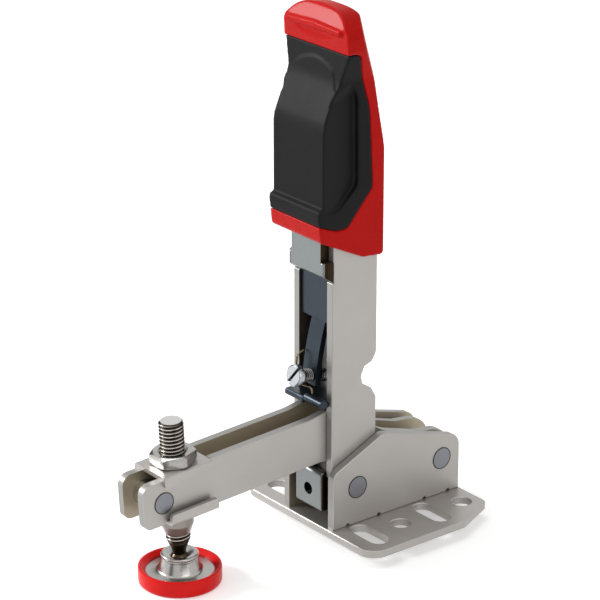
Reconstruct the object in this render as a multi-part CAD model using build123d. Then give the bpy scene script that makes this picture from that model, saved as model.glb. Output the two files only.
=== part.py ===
from build123d import *
import os
from math import cos, hypot, radians, sin, tan

# Vertical-handle toggle clamp, millimetres. +X runs forward to the pad, +Z is up, and the
# origin is the centre of the base plate's underside. "left" is the +Y side.

# Layers of the plate stack, measured outward from the centre plane
plate_thick = 2.75
arm_inner = 4.1
layer_gap = 0.3
running_gap = 0.05
arm_outer = arm_inner + plate_thick
handle_inner = arm_outer + layer_gap
handle_outer = handle_inner + plate_thick
side_inner = handle_outer + layer_gap
side_outer = side_inner + plate_thick
edge_break = 0.25

# Base plate and its bolt holes
base_length = 55.6
base_width = 67.6
base_thick = 2.5
base_corner = 6.0
base_rear_cut_x = 15.8
base_rear_cut_y = 7.0
hole_pitch = 13.25
first_slot_x = 18.7
hole_dia = 6.6
slot_side_gap = 1.2
slot_edge_gap = 4.05
slot_length = base_width / 2 - side_outer - slot_side_gap - slot_edge_gap
hole_row_y = side_outer + slot_side_gap + slot_length / 2
tab_front = (8.0, 19.7)
tab_rear = (-22.1, -13.4)
tab_relief_r = 0.8

# Pivots, (x, z)
pivot_link = (16.5, 15.4)
pivot_arm = (-19.8, 15.4)
pivot_handle = (15.6, 24.0)
pivot_top = (14.0, 66.0)
pin_r = 2.5
rivet_head_r = 3.7
rivet_head_deep = 1.2
rivet_proud = 0.12
rivet_ring = 0.14

# Side plates
side_front_x = 26.65
side_rear_x = -27.6
side_shoulder_z = 22.1
side_peak = (5.6, 31.5)
side_rear_z = 22.0

# Arm, in its own frame: origin on the arm pivot, tilted nose down by arm_pitch
arm_pitch = 3.0
arm_low = 12.0
arm_high = 28.3
arm_reach = 116.2
arm_tail_r = 8.4
arm_boss_r = 4.2
arm_shoulder = 9.5
arm_throat = 9.5
arm_peak = (40.3, 29.6)
arm_rise = (19.0, 14.6)
front_rivet_setback = 7.8
front_rivet = (arm_reach - front_rivet_setback, 19.3)
front_rivet_head_r = 3.5
sleeve_r = 4.2
spacer_r = 5.0

# Saddles that clamp the spindle to the arm
spindle_setback = 17.0
spindle_at = arm_reach - spindle_setback
saddle_sheet = 1.4
saddle_half_width = 8.2
saddle_sink = 0.1
saddle_behind = 9.5
saddle_ahead = 9.2
saddle_from = spindle_at - saddle_behind
saddle_to = spindle_at + saddle_ahead
saddle_lip_front = 3.9
saddle_lip_rear = 1.9
lower_saddle_sheet = 1.4
lower_saddle_half_width = 9.75
lower_saddle_height = 4.0
lower_saddle_drop = 0.4
lower_saddle_behind = 9.7
lower_saddle_ahead = 8.4
lower_saddle_from = spindle_at - lower_saddle_behind
lower_saddle_to = spindle_at + lower_saddle_ahead
saddle_notch_gap = 0.5

# Spindle, nuts and swivel pad
spindle_r = 4.0
spindle_top = 42.5
taper_top = 1.8
taper_bottom = -2.5
neck_r = 2.35
ball_r = 3.2
ball_drop = -6.4
nut_across_flats = 13.0
nut_height = 4.0
lower_nut_r = 5.3
lower_nut_height = 8.0
lower_nut_bevel = 1.2
lower_nut_bevel_height = 3.4
ball_gap = 0.1
foot_rim_r = 6.1
foot_mouth_r = 4.1
foot_base_r = 7.1
foot_rim_z = 6.3
disc_top_z = 0.3
disc_thick = 1.2
disc_r = 11.6
cap_r = 13.45
cap_mouth_r = 11.05
cap_lip_r = 12.5
cap_top_z = 2.0
cap_floor = 2.9

# Front U-bracket on the link rivet
bracket_half_width = 6.95
bracket_sheet = 2.5
bracket_front_x = 26.8
bracket_low_z = 6.7
bracket_high_z = 21.0
bracket_lobe_r = 4.0
bracket_hole_dia = 4.2
bracket_hole_z = 13.3

# Link bar
link_half_y = 3.6
link_half_width = 3.6

# Handle plates
handle_front_x = 24.9
handle_rear_x = 6.5
handle_low_z = 18.6
handle_top_z = 130.0
handle_tang_z = 98.0
handle_tang_setback = 2.2
handle_notch_z = 87.4
handle_notch_depth = 0.5
rear_notch_z = 52.2
rear_notch_depth = 6.3

# Bridge between the handle plates, below the grip
bridge_front_x = 27.8
bridge_sheet = 2.0
bridge_half_width = 7.35
bridge_low_z = 90.1
bridge_high_z = 108.0
bridge_rear_x = 15.0
wing_fold_r = 2.3
wing_high_z = 94.4

# Adjuster: block, leaning lever, slotted screw, lock plate and wire spring
block_rear_x = 12.0
block_front_x = 24.0
block_low_z = 72.4
block_neck_z = 97.4
lever_half_width = 3.4
lever_thick = 2.0
lever_lean = 11.0
lever_bow = 0.7
lever_top_x = 22.4
lever_low_z = 50.6
screw_front = (33.1, 54.85)
screw_lean = 12.5
screw_head_r = 3.7
screw_head_h = 2.2
screw_shank_r = 2.25
screw_reach = 13.8
screw_slot_width = 1.1
screw_slot_depth = 1.1
screw_slot_turn = -35
lock_low_z = 44.4
lock_high_z = 46.6
lock_bar_half = 9.1
lock_bar_rear_x = handle_front_x + layer_gap
lock_bar_front_x = 29.2
lock_rod_r = 1.6
lock_rod_z = 46.1
lock_groove = 0.4
lock_neck_half = 6.4
lock_tail_x = 19.5
wire_r = 0.35
wire_clear = 0.8

# Grip
grip_half_width = 12.7
grip_waist_half = 13.0
grip_head_half = 16.2
grip_low_z = 94.9
grip_top_z = 177.0
grip_front_x = 32.8
grip_rear_x = 6.2
grip_trim_z = 154.1
grip_trim_slope = 12.5
grip_trim_turn = 38.5
inlay_depth = 2.0
inlay_low_z = grip_low_z + 13.5
inlay_high_z = grip_top_z - 13.8


def rounded(corners):
    """Closed face through (x, y, radius) corners; a radius of 0 leaves the corner sharp."""
    face = make_face(Polyline([(x, y) for x, y, _ in corners], close=True))
    for x, y, radius in corners:
        if radius > 0:
            vertex = min(face.vertices(), key=lambda v: hypot(v.X - x, v.Y - y))
            face = fillet(vertex, radius)
    return face


def sheet(face, y_low, y_high):
    """Plate of the given (x, z) face, between two y values."""
    return extrude(Plane.XZ.offset(-y_high) * face, amount=y_high - y_low)


def slab_x(face, x_low, x_high):
    """Plate of the given (y, z) face, between two x values."""
    return extrude(Plane.YZ.offset(x_low) * face, amount=x_high - x_low)


def disc_face(center, radius):
    return Pos(center[0], center[1]) * Circle(radius)


def rod_y(center, radius, y_low, y_high):
    """Round bar along Y at an (x, z) centre."""
    return sheet(disc_face(center, radius), y_low, y_high)


def strap(start, start_r, end, end_r):
    """Bar with round ends: the convex outline of two circles."""
    rings = disc_face(start, start_r).edges() + disc_face(end, end_r).edges()
    return make_hull(rings)


def side_sheet(face, side, y_low, y_high):
    """Plate on the left (+1) or right (-1) of the centre plane, outer edge broken."""
    plate = sheet(face, y_low, y_high)
    outer = plate.faces().sort_by(Axis.Y)[-1]
    plate = chamfer(outer.edges(), edge_break)
    return plate if side > 0 else mirror(plate, Plane.XZ)


def both_sides(face, y_low, y_high):
    """The same plate on both sides of the centre plane, as one shape to add or cut."""
    plate = sheet(face, y_low, y_high)
    return plate + mirror(plate, Plane.XZ)


def flush_rivet(center, half_length, head_r):
    """Rivet along Y whose heads lie sunk in the outer plates, almost flush with them."""
    rivet = rod_y(center, pin_r, -half_length, half_length)
    for side in (1, -1):
        low, high = sorted((side * (half_length - rivet_head_deep), side * (half_length + rivet_proud)))
        head = rod_y(center, head_r, low, high)
        crown = head.faces().sort_by(Axis.Y)[-1 if side > 0 else 0]
        rivet += chamfer(crown.edges(), rivet_proud * 0.8)
    return rivet


def rivet_seats(center, half_length, head_r):
    """Counterbores that the heads of a flush rivet lie in."""
    reach = head_r + rivet_ring
    return both_sides(disc_face(center, reach), half_length - rivet_head_deep, half_length + 1)


def tube_y(center, outer_r, inner_r, y_low, y_high):
    return rod_y(center, outer_r, y_low, y_high) - rod_y(center, inner_r, y_low, y_high)


def turned(points):
    """Solid of revolution about Z from (radius, z) points."""
    return revolve(Plane.XZ * make_face(Polyline(points, close=True)), Axis.Z)


def from_arm(shape):
    """Places a shape that is drawn in the arm's own frame."""
    return Pos(pivot_arm[0], 0, pivot_arm[1]) * Rot(0, arm_pitch, 0) * shape


def arm_point(x, z):
    """World (x, z) of a point given in the arm's own frame."""
    turn = radians(arm_pitch)
    return (pivot_arm[0] + x * cos(turn) + z * sin(turn), pivot_arm[1] - x * sin(turn) + z * cos(turn))


def in_arm(point):
    """Arm-frame (x, z) of a world point."""
    turn = radians(arm_pitch)
    x, z = point[0] - pivot_arm[0], point[1] - pivot_arm[1]
    return (x * cos(turn) - z * sin(turn), x * sin(turn) + z * cos(turn))


def oblong(x_low, x_high, z_low, z_high):
    """Sharp-cornered (x, z) rectangle."""
    return rounded([(x_low, z_low, 0), (x_high, z_low, 0), (x_high, z_high, 0), (x_low, z_high, 0)])


def tab_boxes(side):
    """The two tabs under a side plate, which fill the slots in the base plate."""
    low, high = sorted((side * side_inner, side * side_outer))
    tabs = Part()
    for start, end in (tab_front, tab_rear):
        tabs += sheet(oblong(start, end, 0, base_thick), low, high)
    return tabs


def base_plate():
    half_l, half_w = base_length / 2, base_width / 2
    cut_x, cut_y = -half_l + base_rear_cut_x, half_w - base_rear_cut_y
    outline = rounded([
        (half_l, -half_w, base_corner), (half_l, half_w, base_corner), (cut_x, half_w, 4.0),
        (-half_l, cut_y, 2.5), (-half_l, -cut_y, 2.5), (cut_x, -half_w, 4.0),
    ])
    for side in (1, -1):
        for step in range(4):
            place = Pos(first_slot_x - step * hole_pitch, side * hole_row_y)
            if step % 2 == 0:
                outline -= place * Rot(0, 0, 90) * SlotOverall(slot_length, hole_dia)
            else:
                outline -= place * Circle(hole_dia / 2)
    plate = extrude(outline, amount=base_thick)
    plate = chamfer(plate.faces().sort_by(Axis.Z)[-1].edges(), edge_break)
    return plate - tab_boxes(1) - tab_boxes(-1)


def side_plate(side):
    face = rounded([
        (side_front_x, base_thick, 0), (side_front_x, side_shoulder_z, 3.5), (*side_peak, 3.0),
        (side_rear_x, side_rear_z, 5.0), (side_rear_x, base_thick, 0),
    ])
    for start, end in (tab_front, tab_rear):
        for edge in (start - tab_relief_r, end + tab_relief_r):
            face -= disc_face((edge, base_thick), tab_relief_r)
    for pivot in (pivot_link, pivot_arm):
        face -= disc_face(pivot, pin_r)
    plate = side_sheet(face, side, side_inner, side_outer) + tab_boxes(side)
    for pivot in (pivot_link, pivot_arm):
        plate -= rivet_seats(pivot, side_outer, rivet_head_r)
    return plate


def front_bracket():
    web_rear = bracket_front_x - bracket_sheet
    flange = rounded([
        (pivot_link[0], pivot_link[1] + bracket_lobe_r, 0), (bracket_front_x, bracket_high_z, 1.5),
        (bracket_front_x, bracket_low_z, 1.5), (web_rear - 1.0, bracket_low_z, 2.0),
        (pivot_link[0], pivot_link[1] - bracket_lobe_r, 0),
    ]) + disc_face(pivot_link, bracket_lobe_r)
    bracket = sheet(flange, -bracket_half_width, bracket_half_width)
    inner = bracket_half_width - bracket_sheet
    bracket -= sheet(oblong(0, web_rear, 0, 2 * bracket_high_z), -inner, inner)
    bracket -= rod_y(pivot_link, pin_r, -side_outer, side_outer)
    corners = bracket.edges().filter_by(Axis.Z).group_by(Axis.X)[-1]
    bracket = fillet(corners, 1.0)
    hole = Plane.YZ * (Pos(0, bracket_hole_z) * Circle(bracket_hole_dia / 2))
    return bracket - extrude(hole, amount=2 * bracket_front_x)


def arm_spacers():
    """Two washers on the arm rivet, between the arm and the side plates."""
    one = tube_y(pivot_arm, spacer_r, pin_r, arm_outer + running_gap, side_inner)
    return one + mirror(one, Plane.XZ)


def arm_face():
    """Outline of an arm plate in the arm's own frame."""
    boss = in_arm(pivot_handle)
    recess_high = upper_saddle_top() - saddle_sheet
    recess_low = lower_saddle_top()
    notch_front = lower_saddle_to + saddle_notch_gap
    notch_rear = lower_saddle_from - saddle_notch_gap
    body = rounded([
        (2.0, arm_tail_r - 0.2, 0), (*arm_rise, 12.0), (*arm_peak, 6.0),
        (arm_peak[0] + arm_shoulder, arm_high, 12.0), (saddle_from, arm_high, 0),
        (saddle_from, recess_high, 0), (arm_reach, recess_high, 3.4),
        (arm_reach, arm_low - 0.3, 2.8), (notch_front, arm_low - 0.3, 0.5), (notch_front, recess_low, 0.4),
        (notch_rear, recess_low, 0.4), (notch_rear, arm_low, 0.5), (boss[0] + arm_throat, arm_low, 8.0),
        (boss[0] + 3.0, boss[1] - 3.0, 0), (boss[0], boss[1] - 3.0, 0),
    ])
    tail = strap((0, 0), arm_tail_r, boss, arm_boss_r)
    return body + tail


def upper_saddle_top():
    """Top face of the upper saddle, in the arm's own frame."""
    return arm_high - saddle_sink


def lower_saddle_top():
    """Ceiling of the notch that holds the lower saddle's web, in the arm's own frame."""
    return arm_low - lower_saddle_drop + lower_saddle_sheet


def arm_plate(side):
    face = arm_face()
    face -= disc_face((0, 0), pin_r + running_gap)
    face -= disc_face(in_arm(pivot_handle), pin_r)
    face -= disc_face(front_rivet, pin_r)
    plate = side_sheet(face, side, arm_inner, arm_outer)
    return from_arm(plate - rivet_seats(front_rivet, arm_outer, front_rivet_head_r))


def arm_sleeve():
    return tube_y(pivot_arm, sleeve_r, pin_r + running_gap, -arm_inner, arm_inner)


def arm_front_spacer():
    return from_arm(tube_y(front_rivet, sleeve_r, pin_r, -arm_inner, arm_inner))


def arm_front_rivet():
    return from_arm(flush_rivet(front_rivet, arm_outer, front_rivet_head_r))


def handle_stub(side):
    """Flush stub rivet that joins an arm plate to its handle plate."""
    low, high = sorted((side * arm_inner, side * (handle_outer + layer_gap / 2)))
    return rod_y(pivot_handle, pin_r, low, high)


def upper_saddle():
    """Folded sheet on top of the arm, with a lip down each side that tapers to the rear."""
    top = upper_saddle_top()
    low = top - saddle_lip_front
    half = saddle_half_width
    outside = rounded([(-half, low, 0), (half, low, 0), (half, top, 1.1), (-half, top, 1.1)])
    inside = rounded([
        (-arm_outer, low - 1, 0), (arm_outer, low - 1, 0), (arm_outer, top - saddle_sheet, 0),
        (-arm_outer, top - saddle_sheet, 0),
    ])
    fold = slab_x(outside - inside, saddle_from, saddle_to)
    lip = rounded([
        (saddle_from, top + 1, 0), (saddle_from, top - saddle_lip_rear, 0.4), (saddle_to, low, 1.0),
        (saddle_to, top + 1, 0),
    ])
    return from_arm((fold & sheet(lip, -half - 1, half + 1)) - spindle_bore())


def lower_saddle():
    """Folded channel under the arm, with a turned-up lip outside each arm plate."""
    low = lower_saddle_top() - lower_saddle_sheet
    high = low + lower_saddle_height
    half, sheet_t = lower_saddle_half_width, lower_saddle_sheet
    outside = rounded([(-half, high, 0), (-half, low, 1.3), (half, low, 1.3), (half, high, 0)])
    inner = half - sheet_t
    inside = rounded([
        (-inner, high + 1, 0), (-inner, low + sheet_t, 0.3), (inner, low + sheet_t, 0.3),
        (inner, high + 1, 0),
    ])
    channel = slab_x(outside - inside, lower_saddle_from, lower_saddle_to)
    lip = rounded([
        (lower_saddle_from, low - 1, 0), (lower_saddle_to, low - 1, 0), (lower_saddle_to, high, 0.9),
        (lower_saddle_from, high, 0.9),
    ])
    return from_arm((channel & sheet(lip, -half - 1, half + 1)) - spindle_bore())


def spindle_bore():
    """Running hole for the spindle through the saddles and nuts."""
    bore = Cylinder(spindle_r + running_gap, 3 * arm_high)
    return Pos(spindle_at, 0, arm_high) * bore


def hex_nut(across_flats, height, low):
    """Hexagon nut on the spindle axis with chamfered corners, flats facing forward."""
    hexagon = RegularPolygon(across_flats / 2, 6, major_radius=False, rotation=30)
    blank = Cylinder(across_flats / 3 ** 0.5, height)
    blank = chamfer(blank.edges().group_by(Axis.Z)[0], 0.45, 0.8)
    blank = chamfer(blank.edges().group_by(Axis.Z)[-1], 0.45, 0.8)
    nut = (Pos(0, 0, -height / 2) * extrude(hexagon, amount=height)) & blank
    return from_arm(Pos(spindle_at, 0, low + height / 2) * nut - spindle_bore())


def lower_nut():
    """Round lock nut under the lower saddle, bevelled below."""
    high = lower_saddle_top() - lower_saddle_sheet
    low = high - lower_nut_height
    radius, bevel = lower_nut_r, lower_nut_bevel
    nut = turned([
        (0, low), (radius - bevel, low), (radius, low + lower_nut_bevel_height), (radius, high), (0, high),
    ])
    return from_arm(Pos(spindle_at, 0, 0) * nut - spindle_bore())


def spindle():
    """Threaded spindle with a tapered neck and a ball foot."""
    chamf = 0.7
    shank = turned([
        (0, ball_drop), (neck_r, ball_drop), (neck_r, taper_bottom), (spindle_r - 0.1, taper_top - 0.2),
        (spindle_r, taper_top), (spindle_r, spindle_top - chamf), (spindle_r - chamf, spindle_top),
        (0, spindle_top),
    ])
    shank += Pos(0, 0, ball_drop) * Sphere(ball_r)
    return from_arm(Pos(spindle_at, 0, 0) * shank)


def ball_centre():
    return arm_point(spindle_at, ball_drop)


def on_pad_axis(shape):
    return Pos(ball_centre()[0], 0, 0) * shape


def swivel_foot():
    """Turned cup that grips the ball, with the disc that carries the pad."""
    throat_r = ball_r - 0.2
    disc_low = disc_top_z - disc_thick
    foot = turned([
        (0, disc_low), (disc_r, disc_low), (disc_r, disc_top_z), (foot_base_r, disc_top_z),
        (foot_base_r - 0.2, disc_top_z + 1.3), (foot_rim_r - 0.5, foot_rim_z - 1.6),
        (foot_rim_r, foot_rim_z - 1.0), (foot_rim_r - 0.3, foot_rim_z), (foot_mouth_r, foot_rim_z),
        (0, foot_rim_z),
    ])
    centre_z = ball_centre()[1]
    foot -= Pos(0, 0, centre_z) * Sphere(ball_r + ball_gap)
    depth = foot_rim_z - centre_z
    mouth = Cone(throat_r, foot_mouth_r, depth, align=(Align.CENTER, Align.CENTER, Align.MIN))
    return on_pad_axis(foot - Pos(0, 0, centre_z) * mouth)


def pad_cap():
    """Moulded cap snapped over the rim of the disc."""
    disc_low = disc_top_z - disc_thick
    low = disc_low - cap_floor
    groove = disc_r + running_gap
    cap = turned([
        (0, low), (cap_r - 1.0, low), (cap_r, low + 1.0), (cap_r, cap_top_z - 0.6), (cap_r - 0.6, cap_top_z),
        (cap_lip_r, cap_top_z), (cap_mouth_r, disc_top_z + 0.3), (cap_mouth_r, disc_top_z + running_gap),
        (groove, disc_top_z + running_gap), (groove, disc_low), (0, disc_low),
    ])
    return on_pad_axis(cap)


def link_bar():
    face = strap(pivot_link, link_half_width, pivot_top, link_half_width)
    face -= disc_face(pivot_link, pin_r + running_gap)
    face -= disc_face(pivot_top, pin_r)
    bar = sheet(face, -link_half_y, link_half_y)
    return chamfer(bar.faces().sort_by(Axis.Y)[-1].outer_wire().edges(), edge_break)


def link_pin():
    return rod_y(pivot_top, pin_r, -arm_outer, arm_outer)


def handle_face():
    """Outline of a handle plate, with the rear notch that drops over the arm rivet."""
    rear, front = handle_rear_x, handle_front_x
    step = front - handle_notch_depth
    mid, deep = rear_notch_z, rear + rear_notch_depth
    tang = rear + handle_tang_setback
    face = rounded([
        (front, handle_low_z, 1.2), (front, handle_notch_z, 0.4), (step, handle_notch_z, 0),
        (step, handle_top_z, 2.0), (tang, handle_top_z, 2.0), (tang, handle_tang_z, 0.8),
        (rear, handle_tang_z, 0.8), (rear, mid + 7.3, 3.0),
        (rear + 1.7, mid + 4.6, 1.0), (deep - 1.5, mid + 3.5, 1.2), (deep, mid + 0.4, 1.5),
        (deep - 0.8, mid - 2.7, 1.2), (rear + 2.1, mid - 4.6, 1.0), (rear, mid - 8.2, 2.0),
        (rear, pivot_handle[1] + 6.0, 3.0),
        (pivot_handle[0] - 4.5, pivot_handle[1] - 2.0, 0), (pivot_handle[0], handle_low_z, 0),
    ])
    face += disc_face(pivot_handle, pivot_handle[1] - handle_low_z)
    return face - disc_face(pivot_handle, pin_r + running_gap)


def handle_plate(side):
    return side_sheet(handle_face(), side, handle_inner, handle_outer)


def front_bridge():
    """Folded cover over the channel between the handle plates, with a wing round each plate's edge."""
    inside = handle_inner - running_gap
    step_x = handle_front_x - handle_notch_depth + running_gap
    hood = rounded([
        (step_x, bridge_low_z - 0.4, 0), (bridge_front_x, bridge_low_z, 0.5),
        (bridge_front_x, bridge_high_z, 0), (step_x, bridge_high_z, 0),
    ])
    bridge = sheet(hood, -bridge_half_width, bridge_half_width) + bridge_wings(step_x)
    tongue = rounded([
        (bridge_rear_x, bridge_low_z + 2.4, 2.0), (step_x, bridge_low_z - 0.4, 0), (step_x, bridge_high_z, 0),
        (bridge_rear_x, bridge_high_z, 0),
    ])
    bridge += sheet(tongue, -inside, inside)
    web_rear = bridge_front_x - bridge_sheet
    hollow = oblong(0, web_rear, handle_notch_z - 1, bridge_high_z + 1)
    return bridge - sheet(hollow, -bridge_gap_half(), bridge_gap_half())


def bridge_wings(rear_x):
    """Rounded fold that carries the cover's lower end round the front edges of both plates."""
    half = handle_outer
    fold = rounded([
        (rear_x, -half, 0), (bridge_front_x, -half, wing_fold_r), (bridge_front_x, half, wing_fold_r),
        (rear_x, half, 0),
    ])
    column = Pos(0, 0, handle_notch_z) * extrude(fold, amount=wing_high_z - handle_notch_z)
    lip = rounded([
        (rear_x, handle_notch_z + running_gap, 0), (bridge_front_x, bridge_low_z, 0.5),
        (bridge_front_x, wing_high_z, 0.4), (rear_x, wing_high_z, 0),
    ])
    return column & sheet(lip, -half - 1, half + 1)


def slide_block():
    """Steel block held between the handle plates; the lever hangs from its underside."""
    shoulder_z = handle_notch_z + 0.5
    face = rounded([
        (block_rear_x, block_low_z, 1.0), (block_front_x, block_low_z, 0.6), (block_front_x, shoulder_z, 0),
        (block_rear_x, shoulder_z, 1.0),
    ])
    half = handle_inner - running_gap
    neck = rounded([
        (block_rear_x + 1, shoulder_z - 1, 0), (block_front_x - 1, shoulder_z - 1, 0),
        (block_front_x - 1, block_neck_z, 1.0), (block_rear_x + 1, block_neck_z, 1.0),
    ])
    channel = bridge_gap_half() - running_gap
    return sheet(face, -half, half) + sheet(neck, -channel, channel)


def bridge_gap_half():
    """Half the clear width between the cover's two inner flanges."""
    return handle_inner - running_gap - bridge_sheet


def lever_front(z):
    """Front face of the bowed, leaning lever at a height, as (x, z)."""
    share = (block_low_z - z) / (block_low_z - lever_low_z)
    lean = (block_low_z - z) * tan(radians(lever_lean))
    return (lever_top_x + lean + 4 * lever_bow * share * (1 - share), z)


def adjuster_lever():
    middle_z = (block_low_z + lever_low_z) / 2
    front = [lever_front(z) for z in (block_low_z, middle_z, lever_low_z)]
    back = [(x - lever_thick, z) for x, z in reversed(front)]
    face = make_face([
        ThreePointArc(*front), Line(front[-1], back[0]), ThreePointArc(*back), Line(back[-1], front[0]),
    ])
    lever = sheet(face, -lever_half_width, lever_half_width)
    return lever - placed_on_screw(Cylinder(screw_shank_r + running_gap, 4 * screw_reach))


def placed_on_screw(shape):
    """Places a shape whose Z axis is the screw's axis, with the origin on its front face."""
    return Pos(screw_front[0], 0, screw_front[1]) * Rot(0, 90 - screw_lean, 0) * shape


def force_screw():
    """Slotted cheese-head screw that sets the clamping force."""
    head = Pos(0, 0, -screw_head_h / 2) * Cylinder(screw_head_r, screw_head_h)
    head = chamfer(head.edges().group_by(Axis.Z)[-1], 0.35)
    shank = Pos(0, 0, -screw_reach / 2) * Cylinder(screw_shank_r, screw_reach)
    slot = Box(4 * screw_head_r, screw_slot_width, screw_slot_depth)
    slot = Pos(0, 0, -screw_slot_depth / 2) * Rot(0, 0, screw_slot_turn) * slot
    return placed_on_screw(head + shank - slot)


def lock_plate():
    """T-shaped cant plate: its bar, half flat and half rod, lies across the handle plates' edges."""
    rear, front = lock_bar_rear_x, lock_bar_front_x
    flat = rounded([
        (rear, lock_low_z, 0.4), (front, lock_low_z, 0.6), (front, lock_high_z, 0.6),
        (rear, lock_high_z, 0.4),
    ])
    plate = sheet(flat, -lock_bar_half, 0)
    rod_x = front - lock_rod_r
    rod = rod_y((rod_x, lock_rod_z), lock_rod_r, lock_groove, lock_bar_half)
    plate += chamfer(rod.faces().sort_by(Axis.Y)[-1].edges(), 0.3)
    backing = oblong(rear, rod_x, lock_low_z + 0.3, lock_high_z)
    plate += sheet(backing, -lock_groove, lock_bar_half - 0.6)
    neck = rounded([
        (lock_tail_x, lock_low_z, 0.6), (rear + 0.5, lock_low_z, 0), (rear + 0.5, lock_high_z, 0),
        (lock_tail_x, lock_high_z, 0.6),
    ])
    return plate + sheet(neck, -lock_neck_half, lock_neck_half)


def lock_spring():
    """Bent wire from the lever, round the screw's shank behind its head, down to the lock plate."""
    start_x, start_z = lever_front(screw_front[1] + 6.0)
    side = screw_shank_r + wire_clear + wire_r
    behind_x = screw_front[0] - screw_head_h - 1.2
    under_z = screw_front[1] - screw_shank_r - 2.0
    path = FilletPolyline(
        (start_x + 0.6, -side, start_z), (behind_x - 1.0, -side, start_z - 1.0), (behind_x, -side, under_z),
        (behind_x - 1.6, side, under_z), (behind_x - 1.9, side, lock_rod_z + lock_rod_r + 2 * wire_r),
        radius=1.3)
    section = Plane(path @ 0, z_dir=path % 0) * Circle(wire_r)
    return sweep(section, path=path)


def grip_profiles(inset):
    """Side (x, z) and front (y, z) outlines of the grip; inset draws in its front and its sides."""
    front, rear, low, top = grip_front_x - inset, grip_rear_x, grip_low_z, grip_top_z
    brow, neck, swell = top - 6.0, top - 23.0, top - 37.0
    side = rounded([
        (rear + 2.0, low - 0.9, 1.0), (rear + 8.5, low, 3.0), (front - 1.0, low + 8.3, 1.5),
        (front, inlay_low_z + 4.6, 1.0), (front - 1.8, inlay_low_z + 5.8, 1.0), (front - 1.8, swell, 12.0),
        (front - 7.6, neck, 14.0), (front - 9.1, brow - 8.0, 6.0), (front - 8.5, brow, 2.5),
        (front - 11.3, top, 2.5), (rear + 9.7, top - 1.0, 2.5), (rear + 8.6, brow, 4.0),
        (rear + 4.9, neck + 1.0, 30.0), (rear, swell - 10.0, 30.0), (rear, low + 0.6, 1.2),
    ])
    half, waist, head = grip_half_width - inset, grip_waist_half - inset, grip_head_half - inset
    crown = head / 2
    right = [
        (half, low - 5.0, 0), (half, swell + 3.0, 10.0), (waist, neck, 8.0), (head, brow - 7.0, 4.0),
        (head, brow, 3.0), (crown, top - 1.4, 10.0),
    ]
    left = [(-y, z, radius) for y, z, radius in reversed(right)]
    return side, rounded(right + [(0, top, 12.0)] + left)


def grip_body(inset):
    side, front_face = grip_profiles(inset)
    middle_x = (grip_front_x + grip_rear_x) / 2
    sideways = extrude(Plane.XZ * side, amount=grip_head_half + 1, both=True)
    lengthways = extrude(Plane.YZ.offset(middle_x) * front_face, amount=grip_front_x - grip_rear_x, both=True)
    return (sideways & lengthways) - grip_trim(1) - grip_trim(-1)


def grip_trim(side):
    """Block behind the slanting flat that trims one rear corner of the head."""
    out, up = radians(grip_trim_turn), radians(grip_trim_slope)
    away = Vector(-cos(out) * cos(up), side * sin(out) * cos(up), sin(up))
    corner = Vector(grip_rear_x + 5.0, side * grip_half_width, grip_trim_z)
    block = Box(60, 60, 60, align=(Align.CENTER, Align.CENTER, Align.MIN))
    return Plane(origin=corner, z_dir=away) * block


def inlay_zone():
    """Region of the grip that is overmoulded: the front and the forward part of both sides."""
    far = grip_front_x + 5
    rise = inlay_high_z - inlay_low_z
    upper, lower = inlay_high_z - 0.35 * rise, inlay_low_z + rise / 6
    face = rounded([
        (31.8, inlay_low_z, 0), (far, inlay_low_z + 0.8, 0), (far, inlay_high_z, 0), (21.4, inlay_high_z, 0),
        (18.6, inlay_high_z - 0.8, 2.0), (12.4, upper, 20.0), (10.9, lower, 2.5),
        (16.5, inlay_low_z + 2.9, 6.0), (21.0, inlay_low_z - 2.4, 2.5), (25.5, inlay_low_z - 2.4, 3.0),
    ])
    reach = grip_head_half + 1
    return sheet(face, -reach, reach)


def grip_pockets():
    """Slots in the grip that take the handle plates and the bridge."""
    plate = both_sides(handle_face(), handle_inner, handle_outer)
    hood = oblong(bridge_rear_x, bridge_front_x, bridge_low_z - 5, bridge_high_z)
    return plate + sheet(hood, -bridge_half_width, bridge_half_width)


def grip_shell():
    return grip_body(0) - (inlay_zone() - grip_body(inlay_depth)) - grip_pockets() - block_pocket()


def block_pocket():
    """Room in the grip for the slide block and the cover."""
    face = oblong(block_rear_x, bridge_front_x, block_low_z, bridge_high_z)
    return sheet(face, -handle_inner, handle_inner)


def grip_inlay():
    return (grip_body(0) & inlay_zone()) - grip_body(inlay_depth)


def build():
    """Every sub-part by node name."""
    return {
        "base_plate": base_plate(),
        "side_plate_left": side_plate(1),
        "side_plate_right": side_plate(-1),
        "front_bracket": front_bracket(),
        "link_rivet": flush_rivet(pivot_link, side_outer, rivet_head_r),
        "arm_rivet": flush_rivet(pivot_arm, side_outer, rivet_head_r),
        "arm_spacers": arm_spacers(),
        "arm_plate_left": arm_plate(1),
        "arm_plate_right": arm_plate(-1),
        "arm_sleeve": arm_sleeve(),
        "arm_front_spacer": arm_front_spacer(),
        "arm_front_rivet": arm_front_rivet(),
        "handle_stub_left": handle_stub(1),
        "handle_stub_right": handle_stub(-1),
        "upper_saddle": upper_saddle(),
        "lower_saddle": lower_saddle(),
        "upper_nut": hex_nut(nut_across_flats, nut_height, upper_saddle_top()),
        "lower_nut": lower_nut(),
        "spindle": spindle(),
        "swivel_foot": swivel_foot(),
        "pad_cap": pad_cap(),
        "link_bar": link_bar(),
        "link_pin": link_pin(),
        "handle_plate_left": handle_plate(1),
        "handle_plate_right": handle_plate(-1),
        "front_bridge": front_bridge(),
        "slide_block": slide_block(),
        "adjuster_lever": adjuster_lever(),
        "force_screw": force_screw(),
        "lock_plate": lock_plate(),
        "lock_spring": lock_spring(),
        "grip_shell": grip_shell(),
        "grip_inlay": grip_inlay(),
    }


os.makedirs("parts", exist_ok=True)
for name, shape in build().items():
    export_step(shape, f"parts/{name}.step")
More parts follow.
